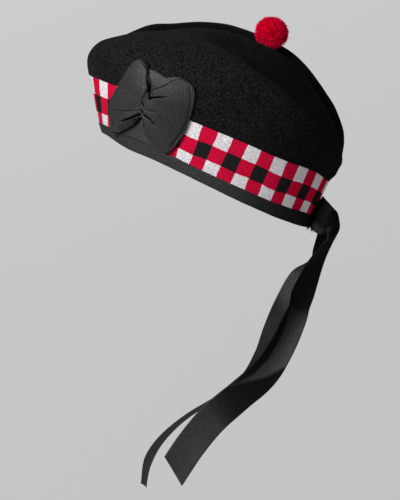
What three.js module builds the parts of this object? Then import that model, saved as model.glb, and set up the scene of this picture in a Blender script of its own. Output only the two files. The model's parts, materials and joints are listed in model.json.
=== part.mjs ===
// A Scottish cap in felted wool, pulled open: crown, diced band, ribbon binding, rosette, toorie and tails.
// Millimetres, +Z up. The front faces -Y and the wearer's left is +X. The origin is the centre of the rim.
import * as THREE from "three";
import { mergeVertices } from "three/addons/utils/BufferGeometryUtils.js";

// Driving sizes
const FELT_WALL = 2.2;
const RIBBON_WALL = 1.0;
const RIBBON_WIDTH = 26;
const GAP = 0.3;
const BINDING_HEIGHT = 9.5;
const ROSETTE = { angle: 58, climb: 40, seat: 0.8, layerGap: 1.2, puff: 4.5, puffPower: 0.75, pinch: 2.2 };
const ROSETTE_FOOT = 1;
const TOORIE = { radius: 14.2, alongY: 3, nestle: 0.45, locks: 64, lockRelief: 0.07 };
const CREASE_WIDTH = 9.5;
const KNOT_BASE = 3;
const KNOT_PLEATS = { count: 7, depth: 0.07 };
const END_SLANT = { left: 6, right: 0 };

// How finely the curved walls are faceted
const STEPS = { around: 56, crown: 24, rosette: 72, backing: 7, bow: 8, tail: 44 };
const KNOT_STEPS = { round: 24, along: 12 };
const TOORIE_DETAIL = 6;

// Steps for following a curve: for the direction at a point, and for walking up the crown
const NUDGE = 0.004;
const STRIDE = 0.01;

// The cap's rim: reach from the middle and rise above the origin at the front, the sides and the back.
const RIM = { front: 96, frontZ: 0, side: 79, sideZ: 5, back: 96, backZ: 0 };

// Lines round the crown from the band's seam up to the summit: reach and height at the front, the sides and
// the back. SOFT has the rest of the shape at each line: how deep the lengthwise crease is, how far the back
// quarters sink behind the ridge, and how far the left half sinks and the right half stands up.
const CROWN_LINES = [
  { at: "seam", front: 125, frontZ: 44, side: 88, sideZ: 51.5, back: 98, backZ: 43 },
  { at: "roll", front: 130, frontZ: 50, side: 91, sideZ: 58, back: 100.5, backZ: 48 },
  { at: "belly", front: 132.5, frontZ: 60, side: 92.5, sideZ: 71, back: 101, backZ: 54 },
  { at: "shoulder", front: 128, frontZ: 72, side: 90, sideZ: 88, back: 101.5, backZ: 60 },
  { at: "brow", front: 117, frontZ: 81.5, side: 84, sideZ: 101.5, back: 99.5, backZ: 66 },
  { at: "ridge", front: 100, frontZ: 97.5, side: 74, sideZ: 112.5, back: 97, backZ: 73.5 },
  { at: "terrace", front: 83.5, frontZ: 108, side: 62, sideZ: 110.5, back: 90.5, backZ: 88 },
  { at: "slope", front: 60, frontZ: 121.5, side: 45, sideZ: 120.5, back: 70, backZ: 109.5 },
  { at: "swell", front: 33.5, frontZ: 130.5, side: 27, sideZ: 130.5, back: 40, backZ: 125 },
  { at: "summit", front: 0, frontZ: 131, side: 0, sideZ: 131, back: 0, backZ: 131 },
];
const SOFT = [
  { at: "seam", crease: 0, dip: 0, lean: 0 },
  { at: "roll", crease: 0, dip: 0, lean: 0 },
  { at: "belly", crease: 0, dip: 0, lean: 0 },
  { at: "shoulder", crease: 0, dip: 0, lean: 0 },
  { at: "brow", crease: 1, dip: -1, lean: 0 },
  { at: "ridge", crease: 4, dip: -2, lean: 4 },
  { at: "terrace", crease: 11, dip: 4.5, lean: 4 },
  { at: "slope", crease: 14.5, dip: 6.5, lean: 3.5 },
  { at: "swell", crease: 13, dip: 0, lean: 1.5 },
  { at: "summit", crease: 13.5, dip: 0, lean: 0 },
];
const SEAM = CROWN_LINES[0];

// Outlines round the rosette's gather, in degrees from the back, counter-clockwise seen from outside.
const BACKING_OUTLINE = [
  { angle: 0, reach: 42 },
  { angle: 20, reach: 45 },
  { angle: 35, reach: 48 },
  { angle: 45, reach: 45.5 },
  { angle: 55, reach: 39.5 },
  { angle: 65, reach: 37.6 },
  { angle: 95, reach: 37.6 },
  { angle: 110, reach: 38.5 },
  { angle: 125, reach: 30.5 },
  { angle: 140, reach: 26.5 },
  { angle: 160, reach: 28.5 },
  { angle: 175, reach: 34 },
  { angle: 185, reach: 42.5 },
  { angle: 195, reach: 47.5 },
  { angle: 205, reach: 51.5 },
  { angle: 210, reach: 52.5 },
  { angle: 220, reach: 45 },
  { angle: 245, reach: 32.5 },
  { angle: 270, reach: 30 },
  { angle: 305, reach: 36 },
  { angle: 315, reach: 41 },
];
const BOW_OUTLINE = [
  { angle: 0, reach: 45.5, lift: 1 },
  { angle: 20, reach: 48.5, lift: 1 },
  { angle: 35, reach: 51.7, lift: 1 },
  { angle: 40, reach: 51.3, lift: 1 },
  { angle: 45, reach: 49.2, lift: 1 },
  { angle: 50, reach: 45.5, lift: 0.9 },
  { angle: 55, reach: 29, lift: 0.7 },
  { angle: 60, reach: 15.5, lift: 0.5 },
  { angle: 65, reach: 19, lift: 0.6 },
  { angle: 70, reach: 24, lift: 0.7 },
  { angle: 80, reach: 29.7, lift: 0.8 },
  { angle: 90, reach: 34.6, lift: 0.8 },
  { angle: 110, reach: 41.5, lift: 0.8 },
  { angle: 115, reach: 39.5, lift: 0.8 },
  { angle: 125, reach: 33, lift: 0.8 },
  { angle: 140, reach: 28.6, lift: 0.7 },
  { angle: 160, reach: 30.2, lift: 0.7 },
  { angle: 190, reach: 36, lift: 0.7 },
  { angle: 205, reach: 41.4, lift: 0.8 },
  { angle: 215, reach: 43.4, lift: 0.8 },
  { angle: 225, reach: 39.5, lift: 0.8 },
  { angle: 230, reach: 34, lift: 0.8 },
  { angle: 240, reach: 23.5, lift: 0.7 },
  { angle: 255, reach: 14.5, lift: 0.5 },
  { angle: 270, reach: 8.5, lift: 0.4 },
  { angle: 285, reach: 13, lift: 0.5 },
  { angle: 290, reach: 21, lift: 0.7 },
  { angle: 300, reach: 28.7, lift: 0.8 },
  { angle: 310, reach: 36.5, lift: 0.9 },
  { angle: 315, reach: 41.7, lift: 1 },
  { angle: 320, reach: 44.5, lift: 1 },
  { angle: 340, reach: 45, lift: 1 },
];
const BOW_FOLDS = [
  { angle: 6, length: 18, depth: 0.15, width: 2.5 },
  { angle: 41, length: 30, depth: 0.4, width: 3 },
  { angle: 95, length: 32, depth: 0.5, width: 3 },
  { angle: 196, length: 32, depth: 0.2, width: 3 },
  { angle: 213, length: 34, depth: 0.45, width: 2.5 },
  { angle: 324, length: 22, depth: 0.4, width: 3 },
];

// The folded tie behind the cap, from the binding outwards: centre, breadth and height of each section.
const KNOT_SECTIONS = [
  { x: 0, y: 98.1, z: 15, wide: 32, tall: 30 },
  { x: 1, y: 104, z: 14.2, wide: 34, tall: 26.5 },
  { x: 0, y: 110, z: 13, wide: 36, tall: 23 },
  { x: 0, y: 115.5, z: 12, wide: 35, tall: 20 },
  { x: 1, y: 119.5, z: 9.7, wide: 32, tall: 14.5 },
  { x: 2, y: 122.5, z: 7.5, wide: 24, tall: 9 },
];

// The tails from the knot down: centre line, which way the ribbon's width turns from +X to +Y, how far its
// middle curls, and how wide it is where it curls.
const TAIL_LEFT = [
  { x: 15, y: 117.5, z: KNOT_BASE - GAP, turn: 163, curl: 1.5, wide: 20 },
  { x: 15, y: 117.5, z: -12, turn: 160, curl: 2, wide: 22 },
  { x: 15, y: 115.5, z: -27, turn: 148, curl: 2.5, wide: 24.5 },
  { x: 15, y: 116, z: -52, turn: 133, curl: 3, wide: 25.5 },
  { x: 17, y: 118, z: -77, turn: 104, curl: 5, wide: 20.5 },
  { x: 20, y: 118, z: -101, turn: 96, curl: 5.5, wide: 21 },
  { x: 24, y: 114, z: -126, turn: 93, curl: 4, wide: 24.5 },
  { x: 30, y: 103, z: -151, turn: 106, curl: 1.5, wide: RIBBON_WIDTH },
  { x: 35, y: 90, z: -177, turn: 92, curl: 0.5, wide: RIBBON_WIDTH },
  { x: 38, y: 82, z: -204, turn: 86, curl: 0.5, wide: RIBBON_WIDTH },
  { x: 40, y: 77, z: -232, turn: 86, curl: 0.5, wide: RIBBON_WIDTH },
];
const TAIL_RIGHT = [
  { x: -12, y: 112.5, z: KNOT_BASE - GAP, turn: 22, curl: 2, wide: 22 },
  { x: -12, y: 112.5, z: -22, turn: 26, curl: 2, wide: 25 },
  { x: -11, y: 109, z: -46, turn: 70, curl: 2, wide: RIBBON_WIDTH },
  { x: -8, y: 108, z: -70, turn: 68, curl: 2, wide: RIBBON_WIDTH },
  { x: -5, y: 107, z: -94, turn: 55, curl: 2, wide: RIBBON_WIDTH },
  { x: -1, y: 107, z: -118, turn: 42, curl: 2, wide: RIBBON_WIDTH },
  { x: 3, y: 100, z: -142, turn: 25, curl: 1.5, wide: RIBBON_WIDTH },
  { x: 8, y: 84, z: -166, turn: 11, curl: 1, wide: RIBBON_WIDTH },
  { x: 12, y: 67, z: -191, turn: 7, curl: 1, wide: RIBBON_WIDTH },
  { x: 15, y: 56, z: -216, turn: 11, curl: 1, wide: RIBBON_WIDTH },
  { x: 17, y: 53, z: -238, turn: 8, curl: 1, wide: RIBBON_WIDTH },
  { x: 19, y: 58, z: -258, turn: 11, curl: 1, wide: RIBBON_WIDTH },
];

// Colours and finish of the materials
const FINISHES = {
  felt: { color: 0x151517, roughness: 0.95 },
  dicing: { color: 0xc8102e, roughness: 0.9 },
  ribbon: { color: 0x2b2b2e, roughness: 0.7 },
  pompom: { color: 0xb3062c, roughness: 0.95 },
};

// Smooth value of one column of a table, with t from 0 at the first row to 1 at the last.
function columnAt(rows, column, t) {
  const place = t * (rows.length - 1);
  const i = Math.min(Math.floor(place), rows.length - 2);
  const f = place - i;
  const rest = 1 - f;
  const at = (k) => rows[THREE.MathUtils.clamp(k, 0, rows.length - 1)][column];
  const slopeIn = (at(i + 1) - at(i - 1)) / 2;
  const slopeOut = (at(i + 2) - at(i)) / 2;
  const ends = at(i) * (1 + 2 * f) * rest * rest + at(i + 1) * f * f * (3 - 2 * f);
  return ends + slopeIn * f * rest * rest - slopeOut * f * f * rest;
}

function rowAt(rows, t) {
  const row = {};
  for (const column of Object.keys(rows[0])) {
    if (column !== "at") row[column] = columnAt(rows, column, t);
  }
  return row;
}

// Value of an outline's column at an angle in degrees, between the rows on each side of it.
function roundAt(rows, column, degrees) {
  const angle = THREE.MathUtils.euclideanModulo(degrees, 360);
  const next = rows.findIndex((row) => row.angle > angle);
  const to = rows[next < 0 ? 0 : next];
  const from = rows[(next < 0 ? rows.length : next) - 1] ?? rows[rows.length - 1];
  const span = THREE.MathUtils.euclideanModulo(to.angle - from.angle, 360);
  const passed = THREE.MathUtils.euclideanModulo(angle - from.angle, 360) / span;
  return THREE.MathUtils.lerp(from[column], to[column], passed);
}

// A point on an egg-shaped line round the cap: angle 0 is the front, a quarter turn is the wearer's left.
function eggPoint(line, angle) {
  const along = Math.cos(angle);
  const reach = along > 0 ? line.front : line.back;
  const rise = along > 0 ? line.frontZ : line.backZ;
  const z = line.sideZ + (rise - line.sideZ) * along * along;
  return new THREE.Vector3(line.side * Math.sin(angle), -reach * along, z);
}

// A point on the crown's outside, t from 0 at the seam to 1 at the summit.
function crownPoint(t, angle) {
  const point = eggPoint(rowAt(CROWN_LINES, t), angle);
  const soft = rowAt(SOFT, t);
  point.z -= soft.crease * Math.exp(-Math.abs(point.x) / CREASE_WIDTH);
  point.z -= soft.lean * Math.tanh(point.x / CREASE_WIDTH);
  if (point.y > 0) point.z -= soft.dip * Math.sin(2 * angle) ** 2;
  return point;
}

function crownNormal(t, angle) {
  const up = crownPoint(Math.min(t + NUDGE, 1), angle).sub(crownPoint(Math.max(t - NUDGE, 0), angle));
  const round = crownPoint(t, angle + NUDGE).sub(crownPoint(t, angle - NUDGE));
  return round.cross(up).normalize();
}

// A point on the band's wall: climb up the slanted wall from the rim, out from its outer face.
function bandPoint(angle, climb, out) {
  const rim = eggPoint(RIM, angle);
  const up = eggPoint(SEAM, angle).sub(rim).normalize();
  const round = eggPoint(RIM, angle + NUDGE).sub(eggPoint(RIM, angle - NUDGE));
  const outward = round.cross(up).normalize();
  return rim.addScaledVector(up, climb).addScaledVector(outward, out);
}

function bandWidth(angle) {
  return eggPoint(SEAM, angle).distanceTo(eggPoint(RIM, angle));
}

// A point on the cap's outside, climbing the band and then the crown above it.
function capPoint(angle, climb) {
  let left = climb - bandWidth(angle);
  if (left <= 0) return bandPoint(angle, climb, 0);
  let t = 0;
  let here = crownPoint(t, angle);
  while (left > 0) {
    const ahead = crownPoint(t + STRIDE, angle);
    const length = ahead.distanceTo(here);
    if (length >= left) return here.lerp(ahead, left / length);
    left -= length;
    t += STRIDE;
    here = ahead;
  }
  return here;
}

// A closed body from a list of triangles' corner numbers, turned so that its faces point out.
function closedBody(points, corners) {
  const geometry = new THREE.BufferGeometry().setFromPoints(points);
  let sixVolumes = 0;
  for (let i = 0; i < corners.length; i += 3) {
    const [a, b, c] = [points[corners[i]], points[corners[i + 1]], points[corners[i + 2]]];
    sixVolumes += a.dot(b.clone().cross(c));
  }
  geometry.setIndex(sixVolumes > 0 ? corners : corners.toReversed());
  geometry.computeVertexNormals();
  return geometry;
}

// Triangles between ring after ring of points, each ring closed on itself.
function ringCorners(ringCount, size, joined) {
  const corners = [];
  const last = joined ? ringCount : ringCount - 1;
  for (let r = 0; r < last; r += 1) {
    const below = r * size;
    const above = ((r + 1) % ringCount) * size;
    for (let k = 0; k < size; k += 1) {
      const next = (k + 1) % size;
      corners.push(below + k, below + next, above + next, below + k, above + next, above + k);
    }
  }
  return corners;
}

// A body of rings that runs round and meets itself, such as a band.
function loopBody(rings) {
  return closedBody(rings.flat(), ringCorners(rings.length, rings[0].length, true));
}

// A body of rings between two end points, such as a shell, a pad or a strip.
function endedBody(firstEnd, rings, lastEnd) {
  const size = rings[0].length;
  const corners = ringCorners(rings.length, size, false);
  const first = rings.length * size;
  const top = (rings.length - 1) * size;
  for (let k = 0; k < size; k += 1) {
    const next = (k + 1) % size;
    corners.push(first, next, k, first + 1, top + k, top + next);
  }
  return closedBody([...rings.flat(), firstEnd, lastEnd], corners);
}

function middleOf(ring) {
  const middle = new THREE.Vector3();
  for (const point of ring) middle.add(point);
  return middle.divideScalar(ring.length);
}

function fullTurn(steps) {
  return Array.from({ length: steps }, (_, k) => (k / steps) * 2 * Math.PI);
}

function finishedMesh(name, geometry, finish) {
  const material = new THREE.MeshStandardMaterial({ ...FINISHES[finish], metalness: 0 });
  const mesh = new THREE.Mesh(geometry, material);
  mesh.name = name;
  return mesh;
}

// The crown: a felt shell from the summit down to the seam outside, and back up inside.
function crown() {
  const angles = fullTurn(STEPS.around);
  const summit = crownPoint(1, 0);
  const outer = [];
  const inner = [];
  for (let i = 1; i <= STEPS.crown; i += 1) {
    const t = 1 - i / STEPS.crown;
    outer.push(angles.map((angle) => crownPoint(t, angle)));
    inner.unshift(
      angles.map((angle) => crownPoint(t, angle).addScaledVector(crownNormal(t, angle), -FELT_WALL)),
    );
  }
  const underSummit = summit.clone().setZ(summit.z - FELT_WALL);
  return finishedMesh("crown", endedBody(summit, [...outer, ...inner], underSummit), "felt");
}

// The diced band: a flared wall from the rim to just under the seam.
function dicedBand() {
  const rings = fullTurn(STEPS.around).map((angle) => {
    const top = bandWidth(angle) - GAP;
    return [
      bandPoint(angle, 0, 0),
      bandPoint(angle, top, 0),
      bandPoint(angle, top, -FELT_WALL),
      bandPoint(angle, 0, -FELT_WALL),
    ];
  });
  return finishedMesh("diced_band", loopBody(rings), "dicing");
}

// The binding: one ribbon folded round the band's lower edge.
function edgeBinding() {
  const outside = GAP + RIBBON_WALL;
  const inside = FELT_WALL + GAP + RIBBON_WALL;
  const section = [
    { climb: BINDING_HEIGHT, out: GAP },
    { climb: BINDING_HEIGHT, out: outside },
    { climb: -GAP, out: outside },
    { climb: -GAP - RIBBON_WALL, out: outside - RIBBON_WALL },
    { climb: -GAP - RIBBON_WALL, out: RIBBON_WALL - inside },
    { climb: -GAP, out: -inside },
    { climb: BINDING_HEIGHT, out: -inside },
    { climb: BINDING_HEIGHT, out: RIBBON_WALL - inside },
    { climb: -GAP, out: RIBBON_WALL - inside },
    { climb: -GAP, out: GAP },
  ];
  const rings = fullTurn(STEPS.around).map((angle) =>
    section.map(({ climb, out }) => bandPoint(angle, climb, out)),
  );
  return finishedMesh("edge_binding", loopBody(rings), "ribbon");
}

// A point of the rosette: back and up from its gather along the cap's side, and out from it.
function rosettePoint(back, up, out) {
  const angle = THREE.MathUtils.degToRad(ROSETTE.angle);
  const perRadian = eggPoint(SEAM, angle + NUDGE).distanceTo(eggPoint(SEAM, angle)) / NUDGE;
  const outward = bandPoint(angle, 0, 1).sub(bandPoint(angle, 0, 0));
  return capPoint(angle + back / perRadian, ROSETTE.climb + up).addScaledVector(outward, out);
}

// A pad on the cap's side with a round outline, a flat back and a front raised by relief(share, degrees). It
// ends above the binding.
function rosettePad(name, outline, steps, backOut, relief) {
  const lowest = BINDING_HEIGHT + ROSETTE_FOOT - ROSETTE.climb;
  const ring = (share, outAt) =>
    fullTurn(STEPS.rosette).map((angle) => {
      const degrees = THREE.MathUtils.radToDeg(angle);
      const reach = share * roundAt(outline, "reach", degrees);
      const up = Math.max(reach * Math.sin(angle), share * lowest);
      return rosettePoint(reach * Math.cos(angle), up, outAt(share, degrees));
    });
  const flat = () => backOut;
  const front = (share, degrees) => backOut + relief(share, degrees);
  const rings = [];
  for (let i = 1; i <= steps; i += 1) rings.push(ring(i / steps, flat));
  for (let i = steps; i >= 1; i -= 1) rings.push(ring(i / steps, front));
  const body = endedBody(rosettePoint(0, 0, backOut), rings, rosettePoint(0, 0, front(0, 0)));
  return finishedMesh(name, body, "ribbon");
}

function rosetteBacking() {
  return rosettePad("rosette_backing", BACKING_OUTLINE, STEPS.backing, ROSETTE.seat, () => RIBBON_WALL);
}

// The bow's front swells between the gather and its edge, and dips along each fold.
function rosetteBow() {
  const relief = (share, degrees) => {
    const reach = share * roundAt(BOW_OUTLINE, "reach", degrees);
    const swell = Math.sin(Math.PI * share ** ROSETTE.puffPower) * roundAt(BOW_OUTLINE, "lift", degrees);
    let open = 1;
    for (const fold of BOW_FOLDS) {
      const turn = THREE.MathUtils.degToRad(degrees - fold.angle);
      const across = reach * Math.sin(turn);
      const near = Math.cos(turn) > 0 ? Math.max(0, 1 - (reach / fold.length) ** 2) : 0;
      open -= fold.depth * near * Math.exp(-((across / fold.width) ** 2));
    }
    return RIBBON_WALL + ROSETTE.pinch * (1 - share) + ROSETTE.puff * swell * open;
  };
  const backOut = ROSETTE.seat + RIBBON_WALL + ROSETTE.layerGap;
  return rosettePad("rosette_bow", BOW_OUTLINE, STEPS.bow, backOut, relief);
}

// The lowest height at which a ball over the crease clears the crown under it.
function heightOverCrown(radius, alongY) {
  const nearSummit = 0.8;
  let height = 0;
  for (let t = nearSummit; t <= 1; t += STRIDE) {
    for (const angle of fullTurn(2 * STEPS.around)) {
      const point = crownPoint(t, angle);
      const aside = Math.hypot(point.x, point.y - alongY);
      if (aside < radius) height = Math.max(height, point.z + Math.sqrt(radius ** 2 - aside ** 2));
    }
  }
  return height;
}

// The toorie: a round head whose surface rises into locks set out on a spiral. The hollows between its locks
// let it nestle a little deeper than a smooth ball.
function toorie() {
  const locks = Array.from({ length: TOORIE.locks }, (_, k) => {
    const height = 1 - (2 * k + 1) / TOORIE.locks;
    const turn = k * Math.PI * (3 - Math.sqrt(5));
    const girth = Math.sqrt(1 - height * height);
    return new THREE.Vector3(girth * Math.cos(turn), girth * Math.sin(turn), height);
  });
  const ball = new THREE.IcosahedronGeometry(1, TOORIE_DETAIL);
  ball.deleteAttribute("normal");
  ball.deleteAttribute("uv");
  const geometry = mergeVertices(ball, 1e-4);
  const position = geometry.getAttribute("position");
  const point = new THREE.Vector3();
  const lockReach = Math.sqrt(4 / TOORIE.locks);
  for (let i = 0; i < position.count; i += 1) {
    point.fromBufferAttribute(position, i);
    const nearest = Math.min(...locks.map((lock) => lock.distanceTo(point)));
    const sunk = TOORIE.lockRelief * Math.min(1, nearest / lockReach) ** 2;
    point.multiplyScalar(TOORIE.radius * (1 - sunk));
    position.setXYZ(i, point.x, point.y, point.z);
  }
  geometry.computeVertexNormals();
  const mesh = finishedMesh("toorie", geometry, "pompom");
  const perch = heightOverCrown(TOORIE.radius, TOORIE.alongY) + GAP - TOORIE.nestle;
  mesh.position.set(0, TOORIE.alongY, perch);
  return mesh;
}

// The tie: oval sections with shallow pleats, lying on the back of the binding.
function tieKnot() {
  const rings = [];
  for (let i = 0; i <= KNOT_STEPS.along; i += 1) {
    const at = rowAt(KNOT_SECTIONS, i / KNOT_STEPS.along);
    rings.push(
      fullTurn(KNOT_STEPS.round).map((angle) => {
        const size = 1 - (KNOT_PLEATS.depth * (1 + Math.cos(KNOT_PLEATS.count * angle))) / 2;
        const x = at.x + (size * at.wide * Math.cos(angle)) / 2;
        const z = at.z + (size * at.tall * Math.sin(angle)) / 2;
        return new THREE.Vector3(x, at.y, Math.max(z, KNOT_BASE));
      }),
    );
  }
  return finishedMesh("tie_knot", endedBody(middleOf(rings[0]), rings, middleOf(rings.at(-1))), "ribbon");
}

// A ribbon along the centre line of a table, its width turned and curled by the rows, its end cut aslant.
function ribbonTail(name, rows, endSlant) {
  const centre = (t) => {
    const { x, y, z } = rowAt(rows, t);
    return new THREE.Vector3(x, y, z);
  };
  const rings = [];
  for (let i = 0; i <= STEPS.tail; i += 1) {
    const t = i / STEPS.tail;
    const { turn, curl, wide } = rowAt(rows, t);
    const along = centre(Math.min(t + NUDGE, 1)).sub(centre(Math.max(t - NUDGE, 0))).normalize();
    const angle = THREE.MathUtils.degToRad(turn);
    const across = new THREE.Vector3(Math.cos(angle), Math.sin(angle), 0);
    across.addScaledVector(along, -across.dot(along)).normalize();
    const face = across.clone().cross(along);
    const slant = i === STEPS.tail ? endSlant : 0;
    const corner = (side, out) =>
      centre(t)
        .addScaledVector(along, side * slant)
        .addScaledVector(across, (side * wide) / 2)
        .addScaledVector(face, curl * (1 - side * side) + (out * RIBBON_WALL) / 2);
    rings.push([corner(-1, 1), corner(0, 1), corner(1, 1), corner(1, -1), corner(0, -1), corner(-1, -1)]);
  }
  return finishedMesh(name, endedBody(middleOf(rings[0]), rings, middleOf(rings.at(-1))), "ribbon");
}

const cap = new THREE.Group();
cap.add(crown(), dicedBand(), edgeBinding());
cap.add(rosetteBacking(), rosetteBow(), toorie());
cap.add(tieKnot());
cap.add(ribbonTail("tail_left", TAIL_LEFT, END_SLANT.left));
cap.add(ribbonTail("tail_right", TAIL_RIGHT, END_SLANT.right));

export default cap;
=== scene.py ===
# %% [markdown]
# # Dressing a diced Scottish cap
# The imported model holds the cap's solids in metres: the rim lies round the origin, the front faces -Y and
# the wearer's left is +X. They are right in size and place but faceted and bare. Each step below takes
# one piece, says what it is on the real cap, and turns it into cloth, ribbon or yarn.

# %% Load the frame
import json
import math

import bpy
import numpy as np
from mathutils import Matrix, Vector

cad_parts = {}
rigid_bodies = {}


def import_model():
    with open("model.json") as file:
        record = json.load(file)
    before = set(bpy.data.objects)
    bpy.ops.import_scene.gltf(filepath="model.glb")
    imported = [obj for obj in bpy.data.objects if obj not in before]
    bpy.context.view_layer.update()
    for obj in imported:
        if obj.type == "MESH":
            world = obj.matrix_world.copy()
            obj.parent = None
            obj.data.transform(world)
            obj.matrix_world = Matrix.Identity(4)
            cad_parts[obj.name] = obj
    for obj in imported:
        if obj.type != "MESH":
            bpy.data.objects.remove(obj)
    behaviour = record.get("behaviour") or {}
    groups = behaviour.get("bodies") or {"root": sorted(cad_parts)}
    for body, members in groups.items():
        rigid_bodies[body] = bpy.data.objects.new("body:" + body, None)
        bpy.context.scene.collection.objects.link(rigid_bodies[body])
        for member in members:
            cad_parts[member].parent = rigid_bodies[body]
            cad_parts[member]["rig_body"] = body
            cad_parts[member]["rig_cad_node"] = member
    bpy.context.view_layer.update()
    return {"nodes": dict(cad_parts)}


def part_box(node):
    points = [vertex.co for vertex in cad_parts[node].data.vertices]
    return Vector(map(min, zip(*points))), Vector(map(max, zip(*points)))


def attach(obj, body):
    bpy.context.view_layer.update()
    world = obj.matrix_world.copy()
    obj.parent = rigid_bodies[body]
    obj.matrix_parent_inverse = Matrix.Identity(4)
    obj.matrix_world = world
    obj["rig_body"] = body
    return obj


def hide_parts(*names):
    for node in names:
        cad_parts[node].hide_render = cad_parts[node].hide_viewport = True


MM = 0.001
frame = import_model()

# %% [markdown]
# ## The viewpoint
# The photograph looks at the cap's left side from a little above, and the rim slants down to the back.
# The cap could be tilted to match, but it has to stay where its solids are. So the camera is rolled about
# its own axis instead. Soft folds are placed by how they look from there, so the viewpoint is settled
# first.

# %% Viewpoint
CAMERA_AZIMUTH, CAMERA_ELEVATION, CAMERA_ROLL = 94, 6, 23.5
CAMERA_DISTANCE = 1.8
FRAME_RIGHT, FRAME_UP = -3.4 * MM, -59.5 * MM

azimuth, elevation, roll = (math.radians(v) for v in (CAMERA_AZIMUTH, CAMERA_ELEVATION, CAMERA_ROLL))
flat_away = Vector((math.sin(azimuth), -math.cos(azimuth), 0))
away = flat_away * math.cos(elevation) + Vector((0, 0, math.sin(elevation)))
level_right = Vector((math.cos(azimuth), math.sin(azimuth), 0))
level_up = away.cross(level_right)
view_right = math.cos(roll) * level_right + math.sin(roll) * level_up
view_up = math.cos(roll) * level_up - math.sin(roll) * level_right
viewpoint = away * CAMERA_DISTANCE + view_right * FRAME_RIGHT + view_up * FRAME_UP
eye, toward_eye, seen_right, seen_up = (np.array(v) for v in (viewpoint, away, view_right, view_up))
print("viewpoint", [round(v, 3) for v in viewpoint])


def slide_along_sight(points, middle, facing):
    """Points slid along the line of sight on to the plane through a middle that faces one way."""
    sight = points - eye
    share = (middle - eye) @ facing / (sight @ facing)
    return eye + sight * share[:, None] - middle


def seen_places(points):
    """How far right and up of the origin each point is seen, in millimetres."""
    place = slide_along_sight(points, np.zeros(3), toward_eye)
    return place @ seen_right / MM, place @ seen_up / MM


# %% [markdown]
# ## Tools of the trade
# An operator acts on everything that is selected, so each step first leaves one piece selected. A soft
# piece starts as a copy of its solid, welded and turned back into quads, because a subdivision surface
# rounds quads more evenly than triangles. The solid itself stays as it is. Folds are then moved in by
# code: points are read into arrays, shifted by shares that rise and fall over named distances, and
# written back.

# %% Read and write points, corner UVs and values on points
def points_of(piece):
    points = np.empty(3 * len(piece.data.vertices))
    piece.data.vertices.foreach_get("co", points)
    return points.reshape(-1, 3)


def normals_of(piece):
    normals = np.empty(3 * len(piece.data.vertices), dtype=np.float32)
    piece.data.vertices.foreach_get("normal", normals)
    return normals.reshape(-1, 3).astype(float)


def set_points(piece, points):
    piece.data.vertices.foreach_set("co", points.ravel())
    piece.data.update()


def corners_of(piece):
    corners = np.empty(len(piece.data.loops), dtype=int)
    piece.data.loops.foreach_get("vertex_index", corners)
    return corners


def set_uv(piece, corner_values):
    """Lays a UV map named weave over the piece, one pair for each face corner."""
    while piece.data.uv_layers:
        piece.data.uv_layers.remove(piece.data.uv_layers[0])
    layer = piece.data.uv_layers.new(name="weave")
    layer.data.foreach_set("uv", corner_values.astype(np.float32).ravel())


def close_wrap(piece, values, whole):
    """Lifts the low corners of each face that crosses the start of a map round the cap by a whole round."""
    for face in piece.data.polygons:
        own = values[face.loop_start : face.loop_start + face.loop_total]
        if np.ptp(own) > whole / 2:
            own[own < own.mean()] += whole


def set_value(piece, name, values):
    attribute = piece.data.attributes.new(name, "FLOAT", "POINT")
    attribute.data.foreach_set("value", values.astype(np.float32))


# %% Shares, tables and lines of points
def ramped(values, start, full):
    """A share that goes evenly from 0 at start to 1 at full, whichever of the two is larger."""
    return np.clip((values - start) / (full - start), 0, 1)


def eased(values, start, full):
    """The same share with a soft start and end."""
    share = ramped(values, start, full)
    return share * share * (3 - 2 * share)


def hump(values, middle, width):
    """A share that is 1 at the middle and fades to both sides."""
    return np.exp(-(((values - middle) / width) ** 2))


def look_up(values, table):
    """A table's other columns at each value of its first column, which rises from row to row."""
    keys, *columns = np.array(table, dtype=float).T
    return [np.interp(values, keys, column) for column in columns]


def unit(vectors):
    return vectors / np.linalg.norm(vectors, axis=-1, keepdims=True)


def run_along(line):
    """How far along a line of points each of them lies."""
    return np.concatenate([[0], np.cumsum(np.linalg.norm(np.diff(line, axis=0), axis=1))])


def along_line(place, line):
    """How far each place lies from a flat line, less than 0 on its right, and beside which of its rows."""
    nearest = np.full(len(place), np.inf)
    beyond, rows = np.zeros((2, len(place)))
    for k, (start, end) in enumerate(zip(line[:-1], line[1:])):
        length = np.linalg.norm(end - start)
        heading = (end - start) / length
        along = np.clip((place - start) @ heading, 0, length)
        aside = place - start - along[:, None] * heading
        gap = np.linalg.norm(aside, axis=1)
        closer = gap < nearest
        nearest = np.where(closer, gap, nearest)
        side = aside @ np.array([-heading[1], heading[0]])
        beyond = np.where(closer, np.copysign(gap, side), beyond)
        rows = np.where(closer, k + along / length, rows)
    return beyond, rows


# %% Select, copy, modify and dress a piece
WELD = 0.01 * MM


def only(piece):
    """Leaves one piece selected and active."""
    bpy.ops.object.select_all(action="DESELECT")
    piece.select_set(True)
    bpy.context.view_layer.objects.active = piece


def copy_of(node, name):
    """A welded copy of a CAD node in quads, as the start of the piece that stands for it."""
    only(frame["nodes"][node])
    bpy.ops.object.duplicate()
    piece = bpy.context.object
    piece.name = piece.data.name = name
    bpy.ops.object.parent_clear(type="CLEAR_KEEP_TRANSFORM")
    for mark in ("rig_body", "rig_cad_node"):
        del piece[mark]
    piece.data.materials.clear()
    bpy.ops.mesh.customdata_custom_splitnormals_clear()
    bpy.ops.object.mode_set(mode="EDIT")
    bpy.ops.mesh.select_all(action="SELECT")
    bpy.ops.mesh.remove_doubles(threshold=WELD)
    bpy.ops.mesh.tris_convert_to_quads()
    bpy.ops.object.mode_set(mode="OBJECT")
    return piece


def clear_selection(piece):
    for part in (piece.data.vertices, piece.data.edges, piece.data.polygons):
        part.foreach_set("select", np.zeros(len(part), dtype=bool))


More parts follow.
